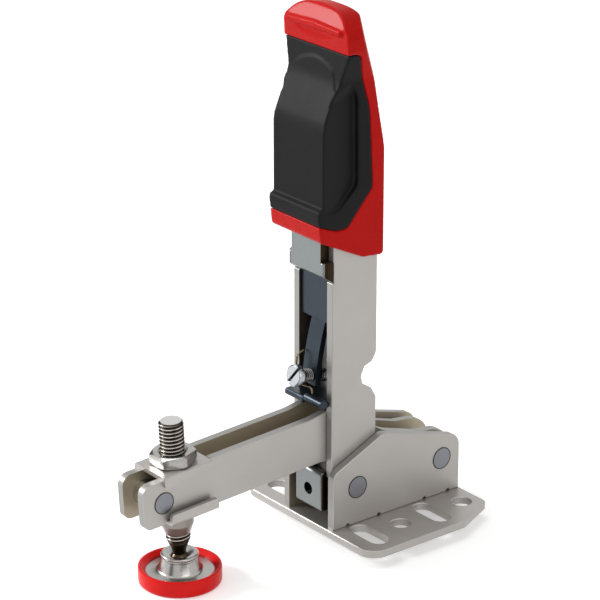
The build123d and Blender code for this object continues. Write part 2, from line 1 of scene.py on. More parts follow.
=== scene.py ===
"""Vertical-handle toggle clamp on a pale studio floor.

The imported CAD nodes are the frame. This script gives each of them its finish, models the
threaded spindle, the two-colour grip and the small formed parts in full detail, and sets the
studio. Modelling is done in millimetres and each finished mesh is brought to metres.
"""
import logging
import math
from dataclasses import dataclass
from enum import Enum

import bpy
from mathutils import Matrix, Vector

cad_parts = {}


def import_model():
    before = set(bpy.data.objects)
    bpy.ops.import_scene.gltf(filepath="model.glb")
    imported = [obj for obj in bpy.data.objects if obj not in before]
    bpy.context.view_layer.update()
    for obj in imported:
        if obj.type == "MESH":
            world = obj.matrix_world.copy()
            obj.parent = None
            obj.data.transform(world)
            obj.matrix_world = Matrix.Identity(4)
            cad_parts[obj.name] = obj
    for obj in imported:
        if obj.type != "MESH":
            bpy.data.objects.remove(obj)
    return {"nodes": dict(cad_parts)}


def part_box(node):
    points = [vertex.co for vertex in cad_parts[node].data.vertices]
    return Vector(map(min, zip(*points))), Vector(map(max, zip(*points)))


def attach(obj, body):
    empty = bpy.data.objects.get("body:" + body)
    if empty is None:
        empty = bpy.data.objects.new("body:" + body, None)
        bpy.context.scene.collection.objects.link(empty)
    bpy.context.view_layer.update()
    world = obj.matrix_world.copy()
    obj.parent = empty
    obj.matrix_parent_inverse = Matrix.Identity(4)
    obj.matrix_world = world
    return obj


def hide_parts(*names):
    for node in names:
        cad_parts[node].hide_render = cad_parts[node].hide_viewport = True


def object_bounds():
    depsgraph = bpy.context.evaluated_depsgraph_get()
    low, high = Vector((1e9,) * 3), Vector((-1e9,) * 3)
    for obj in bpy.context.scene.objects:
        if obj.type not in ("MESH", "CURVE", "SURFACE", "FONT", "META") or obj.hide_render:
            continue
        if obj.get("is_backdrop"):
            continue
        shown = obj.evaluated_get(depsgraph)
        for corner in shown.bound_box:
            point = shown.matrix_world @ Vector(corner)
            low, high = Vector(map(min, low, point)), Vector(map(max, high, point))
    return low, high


LOG = logging.getLogger("toggle_clamp")
MM = 0.001
SPIN_STEPS = 64
MERGE_MM = 0.0005
SPINDLE_POINT = (0.08013, 0.0, 0.0268)
SPINDLE_AXIS = (0.052336, 0.0, 0.99863)
SCREW_POINT = (0.0331, 0.0, 0.05485)
SCREW_AXIS = (0.976296, 0.0, 0.21644)
Point = tuple[float, float, float]
Corner = tuple[float, float, float]


class Axis(Enum):
    """Direction along which a profile is extruded; the profile lies across it."""

    X = "x"
    Y = "y"
    Z = "z"


class Grain(Enum):
    """Stretch of the surface pattern along x, y and z, in cycles per metre."""

    EVEN = (900.0, 900.0, 900.0)
    ALONG_Z = (1500.0, 1500.0, 140.0)
    TURNED = (700.0, 700.0, 3200.0)


def on_axis(axis: Axis, across: tuple[float, float], along: float) -> Vector:
    """Point of a profile in space.

    Args:
        axis: Direction of extrusion.
        across: The profile's two coordinates.
        along: Position along the axis.

    Returns:
        The point in millimetres.
    """
    first, second = across
    if axis is Axis.X:
        return Vector((along, first, second))
    if axis is Axis.Y:
        return Vector((first, along, second))
    return Vector((first, second, along))


def rounded_outline(corners: list[Corner], steps: int = 6) -> list[tuple[float, float]]:
    """Closed outline with each corner replaced by a tangent arc.

    Args:
        corners: (x, y, radius) for each corner, in order.
        steps: Segments in each arc.

    Returns:
        The outline's points.
    """
    outline: list[tuple[float, float]] = []
    count = len(corners)
    for index, (x, y, radius) in enumerate(corners):
        here = Vector((x, y))
        if radius <= 0:
            outline.append((x, y))
            continue
        to_last = (Vector(corners[index - 1][:2]) - here).normalized()
        to_next = (Vector(corners[(index + 1) % count][:2]) - here).normalized()
        half = to_last.angle(to_next) / 2
        centre = here + (to_last + to_next).normalized() * (radius / math.sin(half))
        start = here + to_last * (radius / math.tan(half)) - centre
        end = here + to_next * (radius / math.tan(half)) - centre
        sweep = start.angle_signed(end)
        for step in range(steps + 1):
            turn = -sweep * step / steps
            spoke = Vector((
                start.x * math.cos(turn) - start.y * math.sin(turn),
                start.x * math.sin(turn) + start.y * math.cos(turn),
            ))
            outline.append(tuple(centre + spoke))
    return outline


class Bench:
    """Modelling operations that the sub-assemblies share."""

    @staticmethod
    def clear() -> None:
        """Deselects everything, because an operator acts on all that is selected."""
        if bpy.context.mode != "OBJECT":
            bpy.ops.object.mode_set(mode="OBJECT")
        bpy.ops.object.select_all(action="DESELECT")

    @staticmethod
    def focus(piece: bpy.types.Object) -> None:
        """Makes one piece the only selected and the active one.

        Args:
            piece: The object.
        """
        Bench.clear()
        piece.select_set(True)
        bpy.context.view_layer.objects.active = piece

    @staticmethod
    def chain(name: str, points: list[Vector]) -> bpy.types.Object:
        """Edge chain through points, left in edit mode with its last vertex selected.

        Args:
            name: Name of the new object.
            points: Points in order.

        Returns:
            The new object.
        """
        Bench.clear()
        bpy.ops.mesh.primitive_plane_add(size=1.0, location=(0, 0, 0))
        piece = bpy.context.object
        piece.name = name
        piece.data.name = name
        bpy.ops.object.mode_set(mode="EDIT")
        bpy.ops.mesh.select_all(action="SELECT")
        bpy.ops.mesh.merge(type="CENTER")
        bpy.ops.transform.translate(value=points[0])
        for last, point in zip(points, points[1:]):
            bpy.ops.mesh.extrude_region_move(TRANSFORM_OT_translate={"value": point - last})
        return piece

    @staticmethod
    def outward() -> None:
        """Turns the faces of the mesh in edit mode outwards, then returns to object mode."""
        bpy.ops.mesh.select_all(action="SELECT")
        bpy.ops.mesh.remove_doubles(threshold=MERGE_MM)
        bpy.ops.mesh.normals_make_consistent(inside=False)
        bpy.ops.object.mode_set(mode="OBJECT")

    @staticmethod
    def slab(
        name: str, outline: list[tuple[float, float]], axis: Axis, low: float, high: float
    ) -> bpy.types.Object:
        """Closed plate of an outline between two positions on an axis.

        Args:
            name: Name of the new object.
            outline: The profile's points.
            axis: Direction of extrusion.
            low: Where the plate starts.
            high: Where it ends.

        Returns:
            The new object, in object mode.
        """
        points = [on_axis(axis, point, low) for point in outline]
        piece = Bench.chain(name, points + [points[0]])
        bpy.ops.mesh.select_all(action="SELECT")
        bpy.ops.mesh.remove_doubles(threshold=MERGE_MM)
        bpy.ops.mesh.edge_face_add()
        travel = on_axis(axis, (0.0, 0.0), high - low)
        bpy.ops.mesh.extrude_region_move(TRANSFORM_OT_translate={"value": travel})
        Bench.outward()
        return piece

    @staticmethod
    def lathe(name: str, points: list[tuple[float, float]], steps: int = SPIN_STEPS) -> bpy.types.Object:
        """Turned solid about the Z axis.

        Args:
            name: Name of the new object.
            points: (radius, z) from the axis and back to it.
            steps: Facets round the axis.

        Returns:
            The new object, in object mode.
        """
        piece = Bench.chain(name, [Vector((radius, 0.0, z)) for radius, z in points])
        bpy.ops.mesh.select_all(action="SELECT")
        bpy.ops.mesh.spin(steps=steps, angle=2 * math.pi, center=(0, 0, 0), axis=(0, 0, 1))
        Bench.outward()
        return piece

    @staticmethod
    def modify(piece: bpy.types.Object, kind: str, **settings: object) -> None:
        """Adds a modifier with its settings and applies it.

        Args:
            piece: The object that is changed.
            kind: The modifier's type.
            **settings: Values of the modifier's properties.
        """
        Bench.focus(piece)
        modifier = piece.modifiers.new(kind.lower(), kind)
        for key, value in settings.items():
            setattr(modifier, key, value)
        bpy.ops.object.modifier_apply(modifier=modifier.name)

    @staticmethod
    def combine(piece: bpy.types.Object, tool: bpy.types.Object, operation: str) -> None:
        """Boolean of a piece with a tool, which is then deleted.

        Args:
            piece: The object that is changed.
            tool: The object that cuts it, joins it or bounds it.
            operation: The modifier's operation.

        Raises:
            RuntimeError: The result is empty.
        """
        Bench.modify(piece, "BOOLEAN", object=tool, operation=operation, solver="EXACT")
        if not piece.data.polygons:
            raise RuntimeError(f"{operation} of {piece.name} with {tool.name} left nothing")
        bpy.data.objects.remove(tool)

    @staticmethod
    def copy(piece: bpy.types.Object, name: str) -> bpy.types.Object:
        """Copy of a piece with a mesh of its own.

        Args:
            piece: The object.
            name: Name of the copy and its mesh.

        Returns:
            The copy.
        """
        twin = piece.copy()
        twin.data = piece.data.copy()
        twin.name = name
        twin.data.name = name
        bpy.context.scene.collection.objects.link(twin)
        return twin

    @staticmethod
    def move(piece: bpy.types.Object, turn_y: float, place: Point, turn_x: float = 0.0) -> None:
        """Turns a mesh through the origin, then moves it.

        Args:
            piece: The object whose mesh moves.
            turn_y: Degrees about +Y, by the right-hand rule.
            place: Translation in the mesh's units.
            turn_x: Degrees about +X, made first.
        """
        Bench.focus(piece)
        piece.rotation_euler = (math.radians(turn_x), math.radians(turn_y), 0.0)
        piece.location = place
        bpy.ops.object.transform_apply(location=True, rotation=True, scale=True)

    @staticmethod
    def to_metres(piece: bpy.types.Object) -> None:
        """Brings a mesh modelled in millimetres to metres about the frame's origin.

        Args:
            piece: The object.
        """
        Bench.focus(piece)
        piece.scale = (MM, MM, MM)
        bpy.ops.object.transform_apply(location=True, rotation=True, scale=True)

    @staticmethod
    def smooth(piece: bpy.types.Object, angle: float = 35.0) -> None:
        """Smooth shading with edges sharper than the angle kept.

        Args:
            piece: The object.
            angle: Degrees between two faces above which their edge stays sharp.
        """
        Bench.focus(piece)
        bpy.ops.object.shade_smooth_by_angle(angle=math.radians(angle))


class Shader:
    """Small layer over a material's node tree."""

    def __init__(self, name: str) -> None:
        """Starts a material with only its output and Principled shader.

        Args:
            name: Name of the material.
        """
        self.material = bpy.data.materials.new(name)
        self.material.use_nodes = True
        self.nodes = self.material.node_tree.nodes
        self.links = self.material.node_tree.links
        self.surface = self.nodes["Principled BSDF"]

    def group(self, tree: bpy.types.NodeTree, **values: object) -> bpy.types.Node:
        """Places a shared node group with its own input values.

        Args:
            tree: The group's node tree.
            **values: Values of its inputs, with each name in lower case.

        Returns:
            The group node.
        """
        node = self.nodes.new("ShaderNodeGroup")
        node.node_tree = tree
        for key, value in values.items():
            node.inputs[key.replace("_", " ").capitalize()].default_value = value
        return node

    def mix_colour(
        self, factor: bpy.types.NodeSocket, first: Point | bpy.types.NodeSocket, second: Point
    ) -> bpy.types.NodeSocket:
        """Blend of two colours by a mask.

        Args:
            factor: The mask.
            first: Colour, or the socket that carries it, where the mask is 0.
            second: Colour where the mask is 1.

        Returns:
            The socket that carries the blend.
        """
        node = self.nodes.new("ShaderNodeMix")
        node.data_type = "RGBA"
        if isinstance(first, bpy.types.NodeSocket):
            self.links.new(first, node.inputs["A"])
        else:
            node.inputs["A"].default_value = (*first, 1.0)
        node.inputs["B"].default_value = (*second, 1.0)
        self.links.new(factor, node.inputs["Factor"])
        return node.outputs["Result"]

    def span(self, source: bpy.types.NodeSocket, low: float, high: float) -> bpy.types.NodeSocket:
        """Map of a 0 to 1 mask to a range of values.

        Args:
            source: The mask.
            low: Value where the mask is 0.
            high: Value where the mask is 1.

        Returns:
            The socket that carries the value.
        """
        node = self.nodes.new("ShaderNodeMapRange")
        node.inputs["To Min"].default_value = low
        node.inputs["To Max"].default_value = high
        self.links.new(source, node.inputs["Value"])
        return node.outputs["Result"]

    def bump(self, height: bpy.types.NodeSocket, depth: float) -> None:
        """Drives the surface normal from a height, with depth in metres.

        Args:
            height: The socket that carries the height.
            depth: How deep a height of 1 is.
        """
        node = self.nodes.new("ShaderNodeBump")
        node.inputs["Strength"].default_value = 1.0
        node.inputs["Distance"].default_value = depth
        self.links.new(height, node.inputs["Height"])
        self.links.new(node.outputs["Normal"], self.surface.inputs["Normal"])


class Patterns:
    """Shader node groups that the finishes share."""

    def __init__(self) -> None:
        """Builds each group once."""
        self.grain = self._grain()
        self.faces = self._faces()
        self.speckle = self._speckle()
        self.depth = self._depth()

    @staticmethod
    def _tree(name: str, inputs: list[tuple[str, str, object]], outputs: list[str]) -> bpy.types.NodeTree:
        """Empty group with named sockets.

        Args:
            name: Name of the group.
            inputs: (name, socket type, default) for each input.
            outputs: Names of the float outputs.

        Returns:
            The group's node tree.
        """
        tree = bpy.data.node_groups.new(name, "ShaderNodeTree")
        for label, kind, default in inputs:
            socket = tree.interface.new_socket(label, in_out="INPUT", socket_type=kind)
            socket.default_value = default
        for label in outputs:
            tree.interface.new_socket(label, in_out="OUTPUT", socket_type="NodeSocketFloat")
        return tree

    def _grain(self) -> bpy.types.NodeTree:
        """Rolled or brushed metal: fine stretched grain with a slow cloud over it.

        Returns:
            The group's node tree.
        """
        tree = self._tree(
            "metal_grain",
            [("Stretch", "NodeSocketVector", (900.0, 900.0, 900.0)), ("Cloud", "NodeSocketFloat", 60.0)],
            ["Grain", "Cloud"],
        )
        nodes, links = tree.nodes, tree.links
        entry, leave = nodes.new("NodeGroupInput"), nodes.new("NodeGroupOutput")
        coords = nodes.new("ShaderNodeTexCoord")
        stretch = nodes.new("ShaderNodeVectorMath")
        stretch.operation = "MULTIPLY"
        links.new(coords.outputs["Object"], stretch.inputs[0])
        links.new(entry.outputs["Stretch"], stretch.inputs[1])
        fine = nodes.new("ShaderNodeTexNoise")
        fine.inputs["Scale"].default_value = 1.0
        fine.inputs["Detail"].default_value = 3.0
        links.new(stretch.outputs["Vector"], fine.inputs["Vector"])
        cloud = nodes.new("ShaderNodeTexNoise")
        cloud.inputs["Detail"].default_value = 4.0
        links.new(coords.outputs["Object"], cloud.inputs["Vector"])
        links.new(entry.outputs["Cloud"], cloud.inputs["Scale"])
        links.new(fine.outputs["Fac"], leave.inputs["Grain"])
        links.new(cloud.outputs["Fac"], leave.inputs["Cloud"])
        return tree

    def _faces(self) -> bpy.types.NodeTree:
        """Masks of a plate by the way that its faces turn.

        Returns:
            The group's node tree: sheared edges; painted shade of the face toward the centre plane and of both
            flanks.
        """
        tree = self._tree("plate_faces", [("Start", "NodeSocketFloat", 0.55)], ["Edge", "Inside", "Flank_shade"])
        nodes, links = tree.nodes, tree.links
        entry, leave = nodes.new("NodeGroupInput"), nodes.new("NodeGroupOutput")
        geometry = nodes.new("ShaderNodeNewGeometry")
        facing = nodes.new("ShaderNodeSeparateXYZ")
        links.new(geometry.outputs["Normal"], facing.inputs["Vector"])
        coords = nodes.new("ShaderNodeTexCoord")
        place = nodes.new("ShaderNodeSeparateXYZ")
        links.new(coords.outputs["Object"], place.inputs["Vector"])
        size = self._math(tree, "ABSOLUTE", facing.outputs["Y"])
        edge = self._math(tree, "LESS_THAN", size, entry.outputs["Start"])
        side = self._math(tree, "SIGN", place.outputs["Y"])
        outward = self._math(tree, "MULTIPLY", side, facing.outputs["Y"])
        # Painted shade mask: faces that turn toward the centre plane, where the channel's shade falls.
        inside = self._math(tree, "LESS_THAN", outward, -0.5)
        links.new(edge, leave.inputs["Edge"])
        # Painted shade mask: faces that turn to either side.
        links.new(self._math(tree, "GREATER_THAN", size, 0.6), leave.inputs["Flank_shade"])
        links.new(inside, leave.inputs["Inside"])
        return tree

    @staticmethod
    def _math(tree: bpy.types.NodeTree, operation: str, first: object, second: object = None) -> object:
        """Math node on one or two sockets or numbers.

        Args:
            tree: The node tree that it goes into.
            operation: The node's operation.
            first: Socket that feeds the first input.
            second: Socket or number for the second input, if it has one.

        Returns:
            The node's output socket.
        """
        node = tree.nodes.new("ShaderNodeMath")
        node.operation = operation
        tree.links.new(first, node.inputs[0])
        if isinstance(second, float):
            node.inputs[1].default_value = second
        elif second is not None:
            tree.links.new(second, node.inputs[1])
        return node.outputs["Value"]

    def _speckle(self) -> bpy.types.NodeTree:
        """Moulded texture: the fine even stipple of a spark-eroded mould.

        Returns:
            The group's node tree.
        """
        tree = self._tree("moulded_stipple", [("Scale", "NodeSocketFloat", 2600.0)], ["Height", "Patch"])
        nodes, links = tree.nodes, tree.links
        entry, leave = nodes.new("NodeGroupInput"), nodes.new("NodeGroupOutput")
        coords = nodes.new("ShaderNodeTexCoord")
        dots = nodes.new("ShaderNodeTexVoronoi")
        dots.feature = "SMOOTH_F1"
        links.new(coords.outputs["Object"], dots.inputs["Vector"])
        links.new(entry.outputs["Scale"], dots.inputs["Scale"])
        patch = nodes.new("ShaderNodeTexNoise")
        patch.inputs["Scale"].default_value = 120.0
        patch.inputs["Detail"].default_value = 3.0
        links.new(coords.outputs["Object"], patch.inputs["Vector"])
        links.new(dots.outputs["Distance"], leave.inputs["Height"])
        links.new(patch.outputs["Fac"], leave.inputs["Patch"])
        return tree

    def _depth(self) -> bpy.types.NodeTree:
        """Distance from an axis, as a mask from a thread's root to its crest; end faces count as crest.

        Returns:
            The group's node tree, whose mask paints shade into the thread's roots.
        """
        tree = self._tree("thread_depth", [
            ("Point", "NodeSocketVector", (0.0, 0.0, 0.0)), ("Axis", "NodeSocketVector", (0.0, 0.0, 1.0)),
            ("Root", "NodeSocketFloat", 0.003), ("Crest", "NodeSocketFloat", 0.004),
        ], ["Mask"])
        nodes, links = tree.nodes, tree.links
        entry, leave = nodes.new("NodeGroupInput"), nodes.new("NodeGroupOutput")
        coords = nodes.new("ShaderNodeTexCoord")
        offset, across, length = (nodes.new("ShaderNodeVectorMath") for _ in range(3))
        for node, operation in ((offset, "SUBTRACT"), (across, "CROSS_PRODUCT"), (length, "LENGTH")):
            node.operation = operation
        links.new(coords.outputs["Object"], offset.inputs[0])
        links.new(entry.outputs["Point"], offset.inputs[1])
        links.new(offset.outputs["Vector"], across.inputs[0])
        links.new(entry.outputs["Axis"], across.inputs[1])
        links.new(across.outputs["Vector"], length.inputs[0])
        mask = nodes.new("ShaderNodeMapRange")
        links.new(length.outputs["Value"], mask.inputs["Value"])
        links.new(entry.outputs["Root"], mask.inputs["From Min"])
        links.new(entry.outputs["Crest"], mask.inputs["From Max"])
        geometry, along = nodes.new("ShaderNodeNewGeometry"), nodes.new("ShaderNodeVectorMath")
        along.operation = "DOT_PRODUCT"
        links.new(geometry.outputs["Normal"], along.inputs[0])
        links.new(entry.outputs["Axis"], along.inputs[1])
        end_face = self._math(tree, "GREATER_THAN", along.outputs["Value"], 0.95)
        bright = self._math(tree, "MAXIMUM", mask.outputs["Result"], end_face)
        links.new(bright, leave.inputs["Mask"])
        return tree


@dataclass(frozen=True)
class SheetMetal:
    """Plated steel with fine grain; plates may have duller sheared edges and painted shade on inner faces or
    flanks.
    """

    name: str
    colour: Point
    dark: Point
    rough: tuple[float, float]
    grain: Grain
    depth: float
    metallic: float = 1.0
    edge: Point | None = None
    # Painted shade: colour of the faces that turn toward the centre plane.
    inside: Point | None = None
    # Painted shade: colour of the faces that turn to either side.
    flank: Point | None = None

    def make(self, patterns: Patterns) -> bpy.types.Material:
        """Builds the material.

        Args:
            patterns: The shared node groups.

        Returns:
            The finished material.
        """
        shader = Shader(self.name)
        surface = shader.surface
        surface.inputs["Metallic"].default_value = self.metallic
        grain = shader.group(patterns.grain, stretch=self.grain.value, cloud=70.0)
        face = shader.mix_colour(grain.outputs["Cloud"], self.dark, self.colour)
        mask = shader.group(patterns.faces)
        # The inner-face and flank masks paint shade; the edge mask gives the duller sheared edge.
        for part, tint in (("Edge", self.edge), ("Inside", self.inside), ("Flank_shade", self.flank)):
            if tint is not None:
                face = shader.mix_colour(mask.outputs[part], face, tint)
        shader.links.new(face, surface.inputs["Base Color"])
        shader.links.new(shader.span(grain.outputs["Grain"], *self.rough), surface.inputs["Roughness"])
        shader.bump(grain.outputs["Grain"], self.depth)
        return shader.material


@dataclass(frozen=True)
class RolledThread:
    """Bright plated thread with painted shade in its roots."""

    name: str
    crest: Point
    # Painted shade: colour of the thread's roots.
    root: Point
    point: Point
    axis: Point
    radii: tuple[float, float]
    rough: tuple[float, float] = (0.18, 0.30)

    def make(self, patterns: Patterns) -> bpy.types.Material:
        """Builds the material.

        Args:
            patterns: The shared node groups.

        Returns:
            The finished material.
        """
        shader = Shader(self.name)
        shader.surface.inputs["Metallic"].default_value = 1.0
        grain = shader.group(patterns.grain, stretch=Grain.TURNED.value, cloud=160.0)
        deep = shader.group(
            patterns.depth, point=self.point, axis=self.axis, root=self.radii[0], crest=self.radii[1])
        face = shader.mix_colour(deep.outputs["Mask"], self.root, self.crest)
        shader.links.new(face, shader.surface.inputs["Base Color"])
        shader.links.new(shader.span(grain.outputs["Cloud"], *self.rough), shader.surface.inputs["Roughness"])
        shader.bump(grain.outputs["Grain"], 2e-6)
        return shader.material


@dataclass(frozen=True)
class MouldedPlastic:
    """Moulded plastic or soft overmould with a stippled skin."""

    name: str
    colour: Point
    faded: Point
    rough: tuple[float, float]
    stipple: float
    depth: float
    specular: float = 0.25

    def make(self, patterns: Patterns) -> bpy.types.Material:
        """Builds the material.

        Args:
            patterns: The shared node groups.

        Returns:
            The finished material.
        """
        shader = Shader(self.name)
        surface = shader.surface
        skin = shader.group(patterns.speckle, scale=self.stipple)
        tint = shader.mix_colour(skin.outputs["Patch"], self.colour, self.faded)
        shader.links.new(tint, surface.inputs["Base Color"])
        shader.links.new(shader.span(skin.outputs["Patch"], *self.rough), surface.inputs["Roughness"])
        surface.inputs["Specular IOR Level"].default_value = self.specular
        shader.bump(skin.outputs["Height"], self.depth)
        return shader.material


class Finishes:
    """Every finish of the clamp, built once and given out by name."""

    def __init__(self) -> None:
        """Builds the materials."""
        patterns = Patterns()
        plate, plate_dark, edge = (0.440, 0.420, 0.400), (0.390, 0.372, 0.352), (0.30, 0.295, 0.28)
        # The last value is the near-black brown painted into thread roots as their shade.
        satin, painted_root_shade = (0.38, 0.50), (0.055, 0.040, 0.026)
        kinds = [
            # satin_handle and satin_arm paint shade on faces toward the centre plane: near black in the
            # handle's channel, a darker brown grey in the arm's.
            SheetMetal(
                "satin_handle", plate, plate_dark, satin, Grain.EVEN, 7e-6, 0.7, edge, (0.050, 0.040, 0.030)),
            SheetMetal("satin_arm", plate, plate_dark, satin, Grain.EVEN, 7e-6, 0.7, edge, (0.40, 0.35, 0.265)),
            SheetMetal("satin_base", plate, plate_dark, (0.34, 0.46), Grain.EVEN, 7e-6, 0.8),
            SheetMetal(
                "turned_nut", (0.27, 0.25, 0.235), (0.21, 0.19, 0.175), (0.26, 0.36), Grain.TURNED, 1e-6),
            # pale_zinc paints near-black brown shade on the flanks of the front bracket and bridge.
            SheetMetal(
                "pale_zinc", (0.22, 0.24, 0.237), (0.18, 0.195, 0.195), (0.30, 0.42), Grain.EVEN, 5e-6,
                flank=(0.030, 0.020, 0.012)),
            SheetMetal(
                "bright_plated", (0.46, 0.455, 0.44), (0.34, 0.33, 0.31), (0.20, 0.30), Grain.TURNED, 6e-7),
            RolledThread(
                "spindle_thread", (0.60, 0.595, 0.58), painted_root_shade, SPINDLE_POINT, SPINDLE_AXIS,
                (0.00382, 0.00402)),
            RolledThread(
                "screw_thread", (0.36, 0.38, 0.40), painted_root_shade, SCREW_POINT, SCREW_AXIS, (0.00206, 0.00224)),
            SheetMetal(
                "rivet_steel", (0.235, 0.238, 0.26), (0.19, 0.193, 0.21), (0.3, 0.4), Grain.EVEN, 4e-6),
            SheetMetal(
                "blued_steel", (0.030, 0.042, 0.056), (0.014, 0.022, 0.031), (0.26, 0.38), Grain.ALONG_Z,
                4e-6, 0.72),
            SheetMetal(
                "dark_seam", (0.030, 0.027, 0.024), (0.020, 0.018, 0.016), (0.5, 0.6), Grain.EVEN, 1e-6, 0.4),
            SheetMetal(
                "spring_bronze", (0.25, 0.20, 0.13), (0.16, 0.12, 0.07), (0.2, 0.3), Grain.EVEN, 1e-6),
            MouldedPlastic(
                "red_grip", (0.44, 0.005, 0.004), (0.49, 0.007, 0.005), (0.24, 0.31), 2600.0, 7e-6, 0.07),
            MouldedPlastic(
                "black_overmould", (0.0055, 0.0055, 0.006), (0.011, 0.011, 0.012), (0.44, 0.56), 2200.0,
                18e-6, 0.09),
            MouldedPlastic(
                "red_pad", (0.66, 0.006, 0.005), (0.74, 0.010, 0.008), (0.28, 0.36), 1800.0, 5e-6, 0.15),
        ]
        self.made = {kind.name: kind.make(patterns) for kind in kinds}

    def dress(self, piece: bpy.types.Object, name: str) -> None:
        """Gives a piece one finish in all its slots.

        Args:
            piece: The object.
            name: Name of the finish.
        """
        if not piece.data.materials:
            piece.data.materials.append(self.made[name])
        for index in range(len(piece.material_slots)):
            piece.material_slots[index].material = self.made[name]


@dataclass
class CadFinish:
    """Which finish each carried-over CAD node gets."""

    channel: tuple[str, ...] = ("handle_plate_left", "handle_plate_right")
    plates: tuple[str, ...] = (
        "side_plate_left", "side_plate_right", "arm_plate_left", "arm_plate_right", "link_bar",
    )
    sheets: tuple[str, ...] = ("base_plate", "upper_saddle", "lower_saddle")
    turned: tuple[str, ...] = ("lower_nut",)
    pale: tuple[str, ...] = ("front_bracket", "front_bridge")
    rivets: tuple[str, ...] = (
        "link_rivet", "arm_rivet", "arm_front_rivet", "handle_stub_left", "handle_stub_right",
    )
    bright: tuple[str, ...] = (
        "arm_spacers", "arm_sleeve", "arm_front_spacer", "upper_nut", "spindle", "swivel_foot", "link_pin",
        "force_screw",
    )
    blued: tuple[str, ...] = ("slide_block", "adjuster_lever", "lock_plate")

    def apply(self, nodes: dict[str, bpy.types.Object], finishes: Finishes) -> None:
        """Dresses every CAD node that stays visible.

        Args:
            nodes: The carried-over nodes by name.
            finishes: The finishes by name.
        """
        groups = (
            (self.channel, "satin_handle"), (self.plates, "satin_arm"), (self.sheets, "satin_base"),
            (self.turned, "turned_nut"), (self.pale, "pale_zinc"), (self.rivets, "rivet_steel"),
            (self.bright, "bright_plated"), (self.blued, "blued_steel"), (("lock_spring",), "spring_bronze"),
            (("pad_cap",), "red_pad"), (("grip_shell",), "red_grip"), (("grip_inlay",), "black_overmould"),
        )
        for names, finish in groups:
            for name in names:
                finishes.dress(nodes[name], finish)


@dataclass
class Thread:
    """Rolled screw thread about Z, cut to a turned blank."""

    crest: float
    root: float
    pitch: float
    low: float
    high: float
    steps: int = 40

    def build(self, name: str, blank: list[tuple[float, float]]) -> bpy.types.Object:
        """Helix of the thread's profile, closed and intersected with the blank.

        Args:
            name: Name of the new object.
            blank: (radius, z) outline of the turned blank, from the axis and back to it.

        Returns:
            The threaded rod.
        """
        start = self.low - 2 * self.pitch
        middle, flat = start + self.pitch / 2, self.pitch / 16
        profile = [
            (self.root, start), (self.root, start + 2 * flat), (self.crest, middle - flat),
            (self.crest, middle + flat), (self.root, start + self.pitch),
        ]
        piece = Bench.chain(name, [Vector((radius, 0.0, z)) for radius, z in profile])
        bpy.ops.object.mode_set(mode="OBJECT")
        turns = int((self.high - start) / self.pitch) + 3
        Bench.modify(
            piece, "SCREW", axis="Z", angle=2 * math.pi, steps=self.steps, render_steps=self.steps,
            screw_offset=self.pitch, iterations=turns, use_merge_vertices=True, merge_threshold=0.001)
        Bench.focus(piece)
        bpy.ops.object.mode_set(mode="EDIT")
        bpy.ops.mesh.select_all(action="SELECT")
        bpy.ops.mesh.remove_doubles(threshold=0.001)
        bpy.ops.mesh.fill_holes(sides=0)
        Bench.outward()
        Bench.combine(piece, Bench.lathe("thread_blank", blank), "INTERSECT")
        return piece


